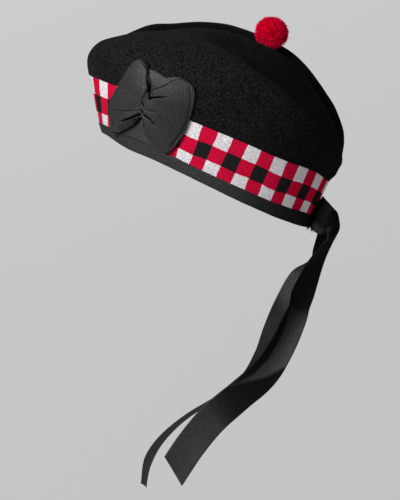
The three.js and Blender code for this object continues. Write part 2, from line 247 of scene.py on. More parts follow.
def modify(piece, kind, **settings):
    """Adds one modifier, sets it and applies it."""
    only(piece)
    modifier = piece.modifiers.new(kind.lower(), kind)
    for setting, value in settings.items():
        setattr(modifier, setting, value)
    bpy.ops.object.modifier_apply(modifier=modifier.name)


def subdivide(piece, levels):
    modify(piece, "SUBSURF", levels=levels, render_levels=levels)


def round_off(piece, levels):
    """A subdivision surface that keeps its size: points first move out by as much as it draws them in."""
    start = points_of(piece)
    only(piece)
    bpy.ops.object.duplicate()
    trial = bpy.context.object
    subdivide(trial, levels)
    drawn_in = points_of(trial)[: len(start)]
    bpy.ops.object.delete()
    set_points(piece, 2 * start - drawn_in)
    subdivide(piece, levels)


def make_uneven(piece, name, height, size):
    """Moves the surface in and out by a cloud pattern of one height and size."""
    clouds = bpy.data.textures.new(name, "CLOUDS")
    clouds.noise_scale = size
    modify(piece, "DISPLACE", texture=clouds, texture_coords="LOCAL", strength=height, mid_level=0.5)


def dress(piece, material, slot, *nodes):
    """Smooth shading, a finish, a body to ride on and the nodes that the piece stands for."""
    only(piece)
    bpy.ops.object.shade_smooth()
    piece.data.materials.clear()
    piece.data.materials.append(material)
    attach(piece, "root")
    if nodes:
        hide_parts(*nodes)
    print(piece.name, "has", len(piece.data.polygons), "faces and stands for", nodes or "no node")


# %% [markdown]
# ## Node helpers
# Every finish is a node material. The weave is worked out by small sums on a UV map that counts stitches,
# columns or metres, so these helpers add a node, feed its sockets and hand back its output. Many pieces
# carry a value of painted shade on their points, and the finish darkens its colour by it. This painted
# shade stands for the light that deep folds lose, which a soft studio light alone would leave too bright,
# and for places that get less light, such as the back of the cap.

# %% Add and feed shader nodes
def new_finish(name, roughness, specular):
    """A fresh material with its tree and its shader."""
    material = bpy.data.materials.new(name)
    material.use_nodes = True
    shader = material.node_tree.nodes["Principled BSDF"]
    shader.inputs["Roughness"].default_value = roughness
    shader.inputs["Specular IOR Level"].default_value = specular
    return material, material.node_tree, shader


def feed(tree, socket, value):
    if isinstance(value, bpy.types.NodeSocket):
        tree.links.new(value, socket)
    else:
        socket.default_value = value


def add_node(tree, kind, inputs=(), **settings):
    node = tree.nodes.new("ShaderNode" + kind)
    for setting, value in settings.items():
        setattr(node, setting, value)
    for socket, value in dict(inputs).items():
        feed(tree, node.inputs[socket], value)
    return node


def sums(tree, operation, *values):
    """The output of one maths node."""
    return add_node(tree, "Math", enumerate(values), operation=operation).outputs[0]


def object_place(tree):
    return add_node(tree, "TexCoord").outputs["Object"]


def weave_counts(tree):
    """The two counts of the piece's weave map."""
    weave = add_node(tree, "UVMap", uv_map="weave").outputs[0]
    return add_node(tree, "SeparateXYZ", {0: weave}).outputs


def point_value(tree, name):
    return add_node(tree, "Attribute", attribute_name=name).outputs["Fac"]


def noise(tree, vector, scale, detail=3.0, rough=0.55):
    inputs = {"Vector": vector, "Scale": scale, "Detail": detail, "Roughness": rough}
    return add_node(tree, "TexNoise", inputs).outputs["Fac"]


def blend_colours(tree, share, first, second):
    inputs = {0: share, 6: first, 7: second}
    return add_node(tree, "Mix", inputs, data_type="RGBA").outputs[2]


def scale_colour(tree, colour, share):
    inputs = {0: colour, "Scale": share}
    return add_node(tree, "VectorMath", inputs, operation="SCALE").outputs[0]


def bump(tree, height, distance, strength=1.0, below=None):
    inputs = {"Height": height, "Distance": distance, "Strength": strength}
    if below is not None:
        inputs["Normal"] = below
    return add_node(tree, "Bump", inputs).outputs[0]


def grey(level, blue=1.0):
    return (level, level, level * blue, 1)


def apply_painted_shade(tree, colour):
    """A colour darkened by the piece's painted shade value, and the share of light that is left."""
    open_share = sums(tree, "SUBTRACT", 1.0, point_value(tree, "painted_shade"))
    return scale_colour(tree, colour, open_share), open_share


# %% [markdown]
# ## Felted wool
# The crown is knitted, then felted until the stitches close up. What is left is a matt black cloth with a
# soft uneven face and pale fibre ends that catch the light. Hair could show each fibre, but from this far
# a fibre is finer than a pixel. So two scales of noise make the cloth's grain, a third the slow
# unevenness of felting, and a little sheen the fuzz that shows at the edges.

# %% Felt finish
FELT_DARK, FELT_LIT = grey(0.0028, 1.08), grey(0.0286, 1.06)
FELT_RAMP = (0.57, 0.87)
FELT_GRAIN = {"scale": 800, "detail": 3, "rough": 0.75}
FELT_PILLS = {"scale": 320, "detail": 3, "rough": 0.6}
FELT_DRIFT = {"scale": 22, "detail": 2}
PILL_SHARE, DRIFT_SHARE = 0.2, 0.1
PILL_BUMP, GRAIN_BUMP = (0.6 * MM, 0.5), (0.4 * MM, 0.6)
FELT_SHEEN = {"Sheen Weight": 0.02, "Sheen Roughness": 0.6, "Sheen Tint": grey(0.8)}


def felt_finish():
    material, tree, shader = new_finish("black_felt", roughness=0.95, specular=0.0)
    place = object_place(tree)
    grain, pills, drift = (noise(tree, place, **kind) for kind in (FELT_GRAIN, FELT_PILLS, FELT_DRIFT))
    mixed = sums(tree, "MULTIPLY_ADD", pills, PILL_SHARE, grain)
    mixed = sums(tree, "MULTIPLY_ADD", drift, DRIFT_SHARE, mixed)
    ramp = add_node(tree, "ValToRGB", {0: mixed})
    for element, position, colour in zip(ramp.color_ramp.elements, FELT_RAMP, (FELT_DARK, FELT_LIT)):
        element.position = position
        element.color = colour
    colour, _ = apply_painted_shade(tree, ramp.outputs[0])
    tree.links.new(colour, shader.inputs["Base Color"])
    soft = bump(tree, pills, *PILL_BUMP)
    tree.links.new(bump(tree, grain, *GRAIN_BUMP, soft), shader.inputs["Normal"])
    for socket, value in FELT_SHEEN.items():
        shader.inputs[socket].default_value = value
    return material


FELT = felt_finish()
print("finish", FELT.name)

# %% [markdown]
# ## How the cap sags
# The band's wall on the near side sags a little, and the front of the rim is lifted. A cloth simulation
# could do that, but the sag is only a few millimetres and its line is known from the photograph. So a
# table gives it as it is seen, and crown, band and binding all move by the same table, which keeps them
# together.

# %% Sag of the near wall
SAG = [  # right as seen, drop at the rim, drop at the seam, in millimetres
    (-54, -0.8, 0),
    (-30, -0.8, 4.4),
    (-12, 0, 4.6),
    (9, 1.1, 4.2),
    (22, 2.1, 3.8),
    (35, 2.1, 3.1),
    (48, 2.1, 2.8),
    (56, 2.0, 2.6),
    (65, 1.5, 1.4),
    (75, 0.8, 0.4),
    (87, 0, -1.9),
    (97, -1, -3),
]
SAG_RISE, SAG_FADE, SAG_SIDE = (3, 48), (85, 50), (8, 42)
FRONT_LIFT = {"rise": 4.2, "ahead": (58, 96), "below": (12, 0)}


def let_sag(piece):
    """Drops the near wall by the table, less towards the top and middle, and lifts the rim's front."""
    points = points_of(piece)
    x, y, z = points.T / MM
    right, _ = seen_places(points)
    rim, seam = look_up(right, SAG)
    drop = rim + (seam - rim) * np.sqrt(ramped(z, *SAG_RISE))
    drop *= eased(z, *SAG_FADE) * eased(x, *SAG_SIDE)
    front_rim = eased(-y, *FRONT_LIFT["ahead"]) * ramped(z, *FRONT_LIFT["below"])
    points[:, 2] += FRONT_LIFT["rise"] * MM * front_rim
    set_points(piece, points - drop[:, None] * MM * seen_up)
    print(piece.name, "sags by up to", round(drop.max(), 1), "mm")


# %% [markdown]
# ## The crown
# The crown is one felt shell. It could be draped by a cloth simulation, but its few folds lie in known
# places. So its copy gets a subdivision surface, and the folds are moved in by code. The edge that is
# sewn to the band is drawn down first, so that the rounded hem still covers the seam. On the near half
# the felt rolls over a soft ridge that runs from the top to the back, given as a line in millimetres
# right and up as it is seen. A gentle cloud displacement then makes the shell uneven, as hand-felted
# cloth is. Painted shade darkens the valley behind the ridge and the far wall of the crease on top, and
# it darkens the near half more and more towards the back, where less light falls.

# %% Ridge of the near half
RIDGE_LINE = [
    (-16, 118),
    (-2, 115.6),
    (6, 112.5),
    (14, 108),
    (26.4, 101.5),
    (39.7, 91.8),
    (55.5, 80.8),
    (69, 70),
    (81, 59),
    (93, 46.8),
    (104, 34.8),
    (112.5, 22.6),
]
RIDGE = {"rise": 3.0, "reach": 12, "drop": 5.0, "drop_at": 9, "recover": 30, "grows": 0.3}
# Where the painted shade in the valley starts behind the ridge and how it grows along it
VALLEY = {"over": 5, "grows": 0.2}


def ridge_step(piece):
    """How far the felt moves out at the ridge and in behind it, and the valley's share of shade."""
    place = np.stack(seen_places(points_of(piece)), axis=1)
    beyond, rows = along_line(place, np.array(RIDGE_LINE))
    share = rows / (len(RIDGE_LINE) - 1)
    before = RIDGE["rise"] * hump(np.minimum(beyond, 0), 0, RIDGE["reach"])
    fall = (RIDGE["rise"] + RIDGE["drop"]) * eased(beyond, 0, RIDGE["drop_at"])
    dip = RIDGE["drop"] * hump(np.maximum(beyond - RIDGE["drop_at"], 0), 0, RIDGE["recover"])
    step = np.where(beyond > RIDGE["drop_at"], -dip, before - fall)
    valley = eased(beyond, 0, VALLEY["over"]) * eased(share, 0, VALLEY["grows"])
    return step * MM * eased(share, 0, RIDGE["grows"]), valley


# %% Crown
HEM_HEIGHT, HEM_DROP, HEM_CREASE = 12 * MM, 1.1 * MM, 0.5
LOOKS_DOWN = -0.7
FELT_LUMP, FELT_LUMP_SIZE = 0.8 * MM, 30 * MM
CROWN_HEART = np.array([0, 0, 60]) * MM
NEAR_HALF, FAR_HALF = (4 * MM, 18 * MM), (4 * MM, -4 * MM)
# Painted shade: the valley behind the ridge, the crease's far wall, and the near half towards the back
VALLEY_SHADE, CREASE_SHADE, FALLOFF_SHADE = 0.54, 0.6, 0.3
CREASE_TURN = 1 / 3
FALLOFF_SPAN = (-30, 75)

crown = copy_of("crown", "felt_crown")
clear_selection(crown)
hem_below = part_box("crown")[0].z + HEM_HEIGHT
for face in crown.data.polygons:
    face.select = face.normal.z < LOOKS_DOWN and face.center.z < hem_below
print("hem faces drawn down:", sum(face.select for face in crown.data.polygons))
bpy.ops.object.mode_set(mode="EDIT")
bpy.ops.mesh.select_mode(type="FACE")
bpy.ops.transform.translate(value=(0, 0, -HEM_DROP))
bpy.ops.transform.edge_crease(value=HEM_CREASE)
bpy.ops.object.mode_set(mode="OBJECT")
round_off(crown, 2)
shell = points_of(crown)
outward = normals_of(crown)
outward *= np.sign(np.sum(outward * (shell - CROWN_HEART), axis=1, keepdims=True))
near_half = ramped(shell[:, 0], *NEAR_HALF)
step, valley = ridge_step(crown)
step *= near_half
set_points(crown, shell + step[:, None] * outward)
print("ridge moves the felt", round(step.min() / MM, 1), "to", round(step.max() / MM, 1), "mm")
let_sag(crown)
make_uneven(crown, "felt_lumps", FELT_LUMP, FELT_LUMP_SIZE)

# %% Painted shade on the crown
shell = points_of(crown)
right, _ = seen_places(shell)
far_wall = ramped(shell[:, 0], *FAR_HALF) * ramped(normals_of(crown) @ toward_eye, 0, CREASE_TURN)
# Painted shade: the largest of the three at each point
crown_shades = (
    CREASE_SHADE * far_wall,
    VALLEY_SHADE * valley * near_half,
    FALLOFF_SHADE * ramped(right, *FALLOFF_SPAN) * near_half,
)
set_value(crown, "painted_shade", np.max(crown_shades, axis=0))
dress(crown, FELT, "felt", "crown")

# %% [markdown]
# ## The diced band
# Dicing is knitted in three rows of squares. Red squares alternate with white ones in the outer rows and
# with black ones in the middle row. Each square could be a face of its own, but a map that counts columns
# round the rim and rows up the wall is simpler: the finish then only has to tell odd from even. Both
# counts are rounded to whole stitches, which gives every square the stepped edge that knitting has. The
# band's ends meet at the back, where the count may break. Under the rosette it gains most of a column,
# which sets the squares in front of it as the photograph has them, and near the front the columns lean.

# %% Lay out the dicing
DICING_COLUMNS, DICING_ROWS = 46, 3
BINDING_TOP = 9.5 * MM
ROWS_SHOWN = 2.8
FIRST_COLUMN_Y = -11.9 * MM
RIM_LINE = {"side": 79, "front": 96, "back": 96, "side_z": 5, "front_z": 0, "back_z": 0}
SEAM_LINE = {"side": 88, "front": 125, "back": 98, "side_z": 51.5, "front_z": 44, "back_z": 43}
BAND_MIDDLE = 30 * MM
BAND_ANGLES = 56
COUNTER_STEPS = 20 * BAND_ANGLES
UNDER_ROSETTE = np.radians((32, 68))
MORE_COLUMNS = 0.8
FRONT_LEAN = 0.3
LEAN_FADE = np.radians((62, 42))


def egg_points(line, angles):
    """Points on an egg-shaped line round the cap, with angle 0 at the front and turning to the left."""
    along = np.cos(angles)
    reach = np.where(along > 0, line["front"], line["back"])
    rise = np.where(along > 0, line["front_z"], line["back_z"])
    z = line["side_z"] + (rise - line["side_z"]) * along**2
    return np.stack([line["side"] * np.sin(angles), -reach * along, z], axis=1) * MM


def column_counter():
    """Columns counted from a square's edge on the left side, for angles all round the band."""
    angles = np.linspace(0, 2 * np.pi, COUNTER_STEPS + 1)
    middle = (egg_points(RIM_LINE, angles) + egg_points(SEAM_LINE, angles)) / 2
    run = run_along(middle)
    left = angles < np.pi
    start = np.interp(FIRST_COLUMN_Y, middle[left, 1], run[left])
    return angles, (run - start) / run[-1] * DICING_COLUMNS


def dicing_map(piece):
    """A corner map that counts columns sideways and rows upwards."""
    points = points_of(piece)
    upper = points[:, 2] > BAND_MIDDLE
    side, front, back = (np.where(upper, SEAM_LINE[k], RIM_LINE[k]) for k in ("side", "front", "back"))
    reach = np.where(points[:, 1] < 0, front, back)
    turn = np.arctan2(points[:, 0] / side, -points[:, 1] / reach)
    step = 2 * np.pi / BAND_ANGLES
    turn = np.round(turn / step).astype(int) % BAND_ANGLES * step
    wall = np.linalg.norm(egg_points(SEAM_LINE, turn) - egg_points(RIM_LINE, turn), axis=1)
    hidden = DICING_ROWS - ROWS_SHOWN * wall / (wall - BINDING_TOP)
    rows = np.where(upper, DICING_ROWS, hidden)
    at_join = np.isclose(turn, np.pi)
    near_side = (turn < np.pi) | at_join
    across = np.interp(turn, *column_counter())
    across += MORE_COLUMNS * (near_side * ramped(turn, *UNDER_ROSETTE) - 1)
    from_front = np.minimum(turn, 2 * np.pi - turn)
    lean = FRONT_LEAN * eased(from_front, *LEAN_FADE) * np.sin(2 * turn)
    across -= lean * (rows - DICING_ROWS / 2)
    corners = corners_of(piece)
    pairs = np.stack([across, rows], axis=1)[corners]
    close_wrap(piece, pairs[:, 0], DICING_COLUMNS)
    for face in piece.data.polygons:
        if face.center.x < 0:
            own = np.array(face.loop_indices)
            pairs[own[at_join[corners[own]]], 0] -= MORE_COLUMNS
    return pairs


band = copy_of("diced_band", "diced_wool_band")
set_uv(band, dicing_map(band))
print("dicing columns", DICING_COLUMNS, "rows", DICING_ROWS)

# %% Dicing finish
STITCHES = 11
WANDER, WANDER_SCALE = 0.3, 45
MIDDLE_ROW = 1.0
RIB_SHARE = 0.5
WOOL = {"scale": 560, "detail": 3, "rough": 0.7}
WOOL_TONE, LEAST_TONE, KNIT_TONE = 1.2, 0.4, 0.1
KNIT_BUMP, WOOL_BUMP = (0.35 * MM, 0.7), (0.3 * MM, 0.5)
DICE_RED = (0.640, 0.005, 0.043, 1)
DICE_WHITE = (0.80, 0.77, 0.80, 1)
DICE_BLACK = (0.015, 0.015, 0.016, 1)


def whole_squares(tree, stitch):
    """The square that a stitch belongs to, counted in whole stitches."""
    return sums(tree, "FLOOR", sums(tree, "DIVIDE", sums(tree, "FLOOR", stitch), STITCHES))


def dicing_finish():
    material, tree, shader = new_finish("diced_wool", roughness=0.85, specular=0.04)
    counts = weave_counts(tree)
    place = object_place(tree)
    wander = sums(tree, "MULTIPLY_ADD", noise(tree, place, WANDER_SCALE, 2), WANDER, -WANDER / 2)
    stitch_x = sums(tree, "MULTIPLY", sums(tree, "ADD", counts[0], wander), STITCHES)
    stitch_y = sums(tree, "MULTIPLY", sums(tree, "SUBTRACT", counts[1], wander), STITCHES)
    lean = sums(tree, "PINGPONG", stitch_x, 0.5)
    stitch_y = sums(tree, "ADD", stitch_y, lean)

    column, row = whole_squares(tree, stitch_x), whole_squares(tree, stitch_y)
    row = sums(tree, "MINIMUM", sums(tree, "MAXIMUM", row, 0.0), DICING_ROWS - 1.0)
    odd = sums(tree, "FLOORED_MODULO", sums(tree, "ADD", column, row), 2.0)
    middle = sums(tree, "COMPARE", row, MIDDLE_ROW, 0.1)

    rib = sums(tree, "SINE", sums(tree, "MULTIPLY", stitch_y, 2 * math.pi))
    wale = sums(tree, "SINE", sums(tree, "MULTIPLY", lean, 2 * math.pi))
    knit = sums(tree, "MULTIPLY_ADD", rib, RIB_SHARE, wale)
    wool = noise(tree, place, **WOOL)
    tone = sums(tree, "MULTIPLY_ADD", wool, WOOL_TONE, LEAST_TONE)
    tone = sums(tree, "MULTIPLY_ADD", knit, KNIT_TONE, tone)
    pale = blend_colours(tree, middle, DICE_WHITE, DICE_BLACK)
    colour = blend_colours(tree, odd, DICE_RED, pale)
    tree.links.new(scale_colour(tree, colour, tone), shader.inputs["Base Color"])
    loops = bump(tree, knit, *KNIT_BUMP)
    tree.links.new(bump(tree, wool, *WOOL_BUMP, loops), shader.inputs["Normal"])
    return material


DICING = dicing_finish()
print("finish", DICING.name)

# %% Band
BAND_SHARP, BAND_CREASE = math.radians(60), 0.9

only(band)
clear_selection(band)
bpy.ops.object.mode_set(mode="EDIT")
bpy.ops.mesh.select_mode(type="EDGE")
bpy.ops.mesh.edges_select_sharp(sharpness=BAND_SHARP)
bpy.ops.transform.edge_crease(value=BAND_CREASE)
bpy.ops.object.mode_set(mode="OBJECT")
subdivide(band, 3)
let_sag(band)
dress(band, DICING, "dicing", "diced_band")

# %% [markdown]
# ## Grosgrain ribbon
# Binding, rosette and tails are one black grosgrain ribbon. Fine ribs run across its width, and its face
# has a slight silky gloss that shows each twist. Modelled ribs would need far too many faces, so the
# finish makes them from a map on each ribbon piece that counts metres across and along. One finish serves
# all the pieces, with weaker ribs where the ribbon is pressed flat.

# %% Grosgrain finish
RIB_PITCH = 1.7 * MM
RIB_WANDER, RIB_WANDER_SCALE = 0.4 * MM, 60
THREAD = {"scale": 700, "detail": 2, "rough": 0.6}
RIBBON_DARK, RIBBON_LIT = grey(0.004, 1.03), grey(0.026, 1.03)
RIBBON_GLOSS = 0.5
THREAD_SHINE = 0.7
RIB_HEIGHT, RIB_BUMP = 0.35 * MM, 1.2
OPEN_RIBS, PRESSED_RIBS = 0.65, 0.3
THREAD_BUMP = (0.3 * MM, 0.9)


def grosgrain_finish(name, rib_share):
    """Ribbon with a share of its pattern in ribs and the rest in threads."""
    material, tree, shader = new_finish(name, roughness=0.6, specular=RIBBON_GLOSS)
    place = object_place(tree)
    wander = noise(tree, place, RIB_WANDER_SCALE, 2)
    along = sums(tree, "MULTIPLY_ADD", wander, RIB_WANDER, weave_counts(tree)[1])
    rib = sums(tree, "SINE", sums(tree, "MULTIPLY", along, 2 * math.pi / RIB_PITCH))
    rib = sums(tree, "MULTIPLY_ADD", rib, 0.5, 0.5)
    thread = noise(tree, place, **THREAD)
    share = sums(tree, "MULTIPLY_ADD", thread, 1 - rib_share, sums(tree, "MULTIPLY", rib, rib_share))
    colour = blend_colours(tree, share, RIBBON_DARK, RIBBON_LIT)
    colour, open_share = apply_painted_shade(tree, colour)
    tree.links.new(colour, shader.inputs["Base Color"])
    ribs = bump(tree, rib, RIB_HEIGHT, RIB_BUMP * rib_share)
    tree.links.new(bump(tree, thread, *THREAD_BUMP, ribs), shader.inputs["Normal"])
    shine = sums(tree, "MULTIPLY_ADD", thread, 2 * THREAD_SHINE, 1 - THREAD_SHINE)
    gloss = sums(tree, "MULTIPLY", sums(tree, "MULTIPLY", open_share, RIBBON_GLOSS), shine)
    tree.links.new(gloss, shader.inputs["Specular IOR Level"])
    return material


GROSGRAIN = grosgrain_finish("black_grosgrain", OPEN_RIBS)
FLAT_GROSGRAIN = grosgrain_finish("pressed_grosgrain", PRESSED_RIBS)
print("finishes", GROSGRAIN.name, FLAT_GROSGRAIN.name)

# %% [markdown]
# ## The binding
# One ribbon is folded over the band's lower edge. It could be swept along the rim as a curve, but its
# solid already has the folded form. So its copy's upper edge is raised a little, most at the front, where
# more of it shows, and it gets a small bevel on the fold and the edges and a subdivision surface. A cloud
# displacement makes the puckers that sewing leaves, and painted shade darkens it towards the back.

# %% Binding
BINDING_BEVEL = {"width": 0.3 * MM, "segments": 2, "limit_method": "ANGLE", "angle_limit": math.radians(40)}
BINDING_RAISE = [(-30, 1.5), (-10, 0.6)]
BINDING_MIDDLE = 7 * MM
BACK_SHADE, BACK_TURNS = 0.45, (25, 85)
PUCKER, PUCKER_SIZE = 0.7 * MM, 12 * MM


def round_map(piece):
    """A map in metres for a ring: height across the ribbon and distance round the rim along it."""
    points = points_of(piece)
    turn = np.arctan2(points[:, 0], -points[:, 1])
    girth = np.hypot(points[:, 0], points[:, 1]).mean()
    pairs = np.stack([points[:, 2], turn * girth], axis=1)[corners_of(piece)]
    close_wrap(piece, pairs[:, 1], 2 * np.pi * girth)
    return pairs


binding = copy_of("edge_binding", "grosgrain_binding")
edge = points_of(binding)
(raised,) = look_up(seen_places(edge)[0], BINDING_RAISE)
edge[:, 2] += np.where(edge[:, 2] > BINDING_MIDDLE, raised * MM, 0)
set_points(binding, edge)
modify(binding, "BEVEL", **BINDING_BEVEL)
subdivide(binding, 2)
make_uneven(binding, "binding_puckers", PUCKER, PUCKER_SIZE)
set_uv(binding, round_map(binding))
let_sag(binding)
right, _ = seen_places(points_of(binding))
# Painted shade, growing towards the back, where less light falls
set_value(binding, "painted_shade", BACK_SHADE * ramped(right, *BACK_TURNS))
dress(binding, GROSGRAIN, "ribbon", "edge_binding")

# %% [markdown]
# ## The rosette
# A square of ribbon lies flat on the cap's left side, and a second ribbon is pinched over it into a bow:
# two puffed loops whose folds run to one gather. The folds could be sculpted by hand. Here each one is a
# short line of points measured back and up from the gather, with a depth and a width, because a line in
# code can be moved and tried again. The outline comes first: the square's top edge is lowered, leaning
# out so that it stays clear of the felt, and the loops are pulled zone by zone and pressed flatter. Then
# the folds are pressed in.

# %% Rosette axes and square
GATHER = np.array([73.2, -63.4, 41.1]) * MM
ROSETTE_BACK = np.array([0.4884, 0.8487, 0.2027])
ROSETTE_UP = np.array([0.155, -0.313, 0.937])
ROSETTE_OUT = np.array([0.8587, -0.4262, -0.2844])
SQUARE_TOP, SQUARE_LEAN = 5.5 * MM, 0.55
TOP_EDGE = {"front": (-14, -2), "rear": (34, 20), "rise": (12, 32)}


def rosette_places(piece):
    """How many millimetres back and up from the gather each point seems to lie, from the viewpoint."""
    offset = slide_along_sight(points_of(piece), GATHER, ROSETTE_OUT) / MM
    return offset @ ROSETTE_BACK, offset @ ROSETTE_UP


def top_edge(back, up):
    """The share of a pull on the top edge behind the front corner."""
    return eased(back, *TOP_EDGE["front"]) * eased(back, *TOP_EDGE["rear"]) * ramped(up, *TOP_EDGE["rise"])


square = copy_of("rosette_backing", "rosette_square")
round_off(square, 2)
back, up = rosette_places(square)
lower = SQUARE_TOP * top_edge(back, up)
set_points(square, points_of(square) - lower[:, None] * (ROSETTE_UP - SQUARE_LEAN * ROSETTE_OUT))
set_uv(square, np.stack([back, up], axis=1)[corners_of(square)] * MM)
dress(square, FLAT_GROSGRAIN, "ribbon", "rosette_backing")

# %% Outline and puff of the loops
LOOP_PULLS = {  # millimetres back and up
    "top": (-2.4, -2.4),
    "rear": (-2.2, 0),
    "low_front_corner": (-7.0, -2.5),
    "front_loop": (3.3, 0),
    "top_edge": (0, -3.0),
    "top_corner": (0, 3.2),
    "top_notch": (8.0, 0),
}
KEPT_PUFF = 0.3
PRESS_TURN = 1 / 1.5
FIT_POWERS = 4


def loop_zones(back, up):
    """How strongly each pull acts, by millimetres back and up from the gather."""
    return {
        "top": ramped(up, 0, 36) ** 2,
        "rear": ramped(back, 0, 48),
        "low_front_corner": hump(back, -23, 9) * hump(up, -26, 8),
        "front_loop": ramped(up, -5, 20) * ramped(back, 5, -10),
        "top_edge": top_edge(back, up),
        "top_corner": hump(back, -14, 4.5) * ramped(up, 22, 34),
        "top_notch": hump(back, -7, 9) * ramped(up, 20, 34),
    }


def reshape_loops(piece):
    """Pulls the loops zone by zone to the photographed outline."""
    points = points_of(piece)
    for zone, share in loop_zones(*rosette_places(piece)).items():
        pull_back, pull_up = LOOP_PULLS[zone]
        points += share[:, None] * (pull_back * ROSETTE_BACK + pull_up * ROSETTE_UP) * MM
    set_points(piece, points)


def facing_out(piece, turn):
    """The share of the front, full where the surface turns outwards by more than a turn."""
    return ramped(normals_of(piece) @ ROSETTE_OUT, 0, turn)


def flatten_loops(piece):
    """Presses the front of the loops towards one smooth curved face, keeping a share of their relief."""
    offset = points_of(piece) - GATHER
    front = facing_out(piece, PRESS_TURN)
    back, up, out = (offset @ axis / MM for axis in (ROSETTE_BACK, ROSETTE_UP, ROSETTE_OUT))
    powers = [(i, j) for i in range(FIT_POWERS) for j in range(FIT_POWERS - i)]
    terms = np.stack([back**i * up**j for i, j in powers], axis=1)
    fit = np.linalg.lstsq(terms * front[:, None], out * front, rcond=None)[0]
    press = (terms @ fit - out) * (1 - KEPT_PUFF) * front
    set_points(piece, points_of(piece) + press[:, None] * MM * ROSETTE_OUT)
    return np.abs(press).max()


loops = copy_of("rosette_bow", "rosette_loops")
round_off(loops, 3)
reshape_loops(loops)
print("loops pressed flat by up to", round(flatten_loops(loops), 1), "mm")

# %% Folds of the loops
SLITS = [
    {"line": [(5.3, 6.2), (3.8, 13.7), (1.4, 22.5), (-0.3, 25.8)], "depth": 2.2, "width": 0.8},
    {"line": [(5.5, 7.1), (15.0, 9.2), (24.0, 10.6)], "depth": 1.8, "width": 0.6},
    {"line": [(-2.1, 1.8), (-0.2, -1.6)], "depth": 1.6, "width": 0.8},
    {"line": [(-2.6, -4.6), (-0.5, -6.4)], "depth": 1.6, "width": 0.8},
    {"line": [(-3.1, -7.5), (-13.1, -12.3), (-24.8, -17.8)], "depth": 2.2, "width": 0.7},
    {"line": [(-2.3, -10.6), (-6.5, -18.6)], "depth": 2.2, "width": 0.7},
    {"line": [(0.4, -7.9), (6.9, -10.1), (13.4, -15.6)], "depth": 1.8, "width": 0.6},
]
CREASES = [
    {"line": [(-3.9, -4.4), (-18.2, -7.6), (-31.6, -8.5)], "depth": 0.45, "width": 0.6},
    {"line": [(2.3, -3.4), (12.7, -3.7)], "depth": 0.6, "width": 0.6},
    {"line": [(7.5, 10.6), (6.5, 18.7), (4.4, 27.5), (1.8, 31.7)], "depth": 0.5, "width": 0.6},
    {"line": [(-31.9, -27.0), (-24.7, -28.1), (-15.6, -25.3), (-7.9, -19.8)], "depth": 0.9, "width": 0.6},
    {"line": [(-17.8, -27.0), (-6.0, -29.2), (2.3, -31.6), (14.0, -34.2)], "depth": 0.9, "width": 0.6},
    {"line": [(-1.7, -10.1), (1.0, -15.2), (0.4, -22.6), (5.5, -28.3)], "depth": 0.5, "width": 0.7},
    {"line": [(-36.2, -1.6), (-32.2, -14.9), (-31.5, -24.1)], "depth": 0.6, "width": 0.5},
    {
        "line": [(45, 21.5), (46.9, 11), (44.7, -5), (39.5, -16.5), (29.8, -29.5)],
        "depth": 0.7,
        "width": 0.8,
    },
]
PLEATS = {"count": 6, "start": 210, "step": 5.5, "from": 6, "to": 26, "middle": (-2.7, -9.0)}
PLEAT_DIP = {"depth": 0.45, "width": 0.5}


def pleat_lines():
    """Short straight creases that fan out from the gather in the lower front loop."""
    lines = []
    for k in range(PLEATS["count"]):
        angle = math.radians(PLEATS["start"] + k * PLEATS["step"])
        heading = np.array([math.cos(angle), math.sin(angle)])
        ends = [tuple(PLEATS["middle"] + heading * PLEATS[end]) for end in ("from", "to")]
        lines.append({"line": ends, **PLEAT_DIP})
    return lines


def fold_dip(back, up, fold, fades):
    """How deep one fold dips at each place, fading to both sides and, for a slit, towards its end."""
    line = np.array(fold["line"])
    gap, rows = along_line(np.stack([back, up], axis=1), line)
    run = run_along(line)
    share = np.interp(rows, np.arange(len(line)), run / run[-1])
    fade = 1 - share**3 if fades else 1
    return fold["depth"] * fade * hump(gap, 0, fold["width"])


# %% Press the folds in
FOLD_TURN = 1 / 2
# Painted shade: dark in the slits and creases, and lighter on the top of the front loop and the rear loop
FULL_SHADE_DIP, FOLD_SHADE = 1.1, 0.92
LOOP_SHADES = [
    {"shade": 0.2, "back": (6, 0), "up": (8, 24)},
    {"shade": 0.14, "back": (4, 16), "up": (-22, -8)},
]
RIB_FAN = 0.35

back, up = rosette_places(loops)
slit_dip = sum(fold_dip(back, up, fold, True) for fold in SLITS)
crease_dip = sum(fold_dip(back, up, fold, False) for fold in CREASES + pleat_lines())
dip = np.maximum(slit_dip, crease_dip)
pressed = facing_out(loops, FOLD_TURN) * dip * MM
set_points(loops, points_of(loops) - pressed[:, None] * ROSETTE_OUT)
# Painted shade from the depth of each fold and from the loop zones
turned = sum(zone["shade"] * eased(back, *zone["back"]) * eased(up, *zone["up"]) for zone in LOOP_SHADES)
set_value(loops, "painted_shade", np.maximum(FOLD_SHADE * ramped(dip, 0, FULL_SHADE_DIP), turned))
rib_run = np.hypot(back, RIB_FAN * up)
set_uv(loops, np.stack([up, rib_run], axis=1)[corners_of(loops)] * MM)
dress(loops, FLAT_GROSGRAIN, "ribbon", "rosette_bow")
print("slits", len(SLITS), "creases", len(CREASES), "deepest", round(dip.max(), 2), "mm")

# %% [markdown]
# ## The tie and its tails
# At the back each end of the binding's ribbon leaves the band standing on edge, bends over and hangs down
# as a tail. A cloth simulation would hang it in its own way, and the photograph shows how it hangs. So
# each tail is one strip from band to cut end. A table gives its middle line, the way that its width
# points, its width and its curl, and a grid is laid along the smooth line through those rows. A second
# table turns the strip's edges over, and a third paints shade where the ribbon turns from the light. The
# turned edges get painted shade too, and a lip beside the tie is painted lighter as a highlight.

# %% Follow a table of rows
NUDGE = 0.002


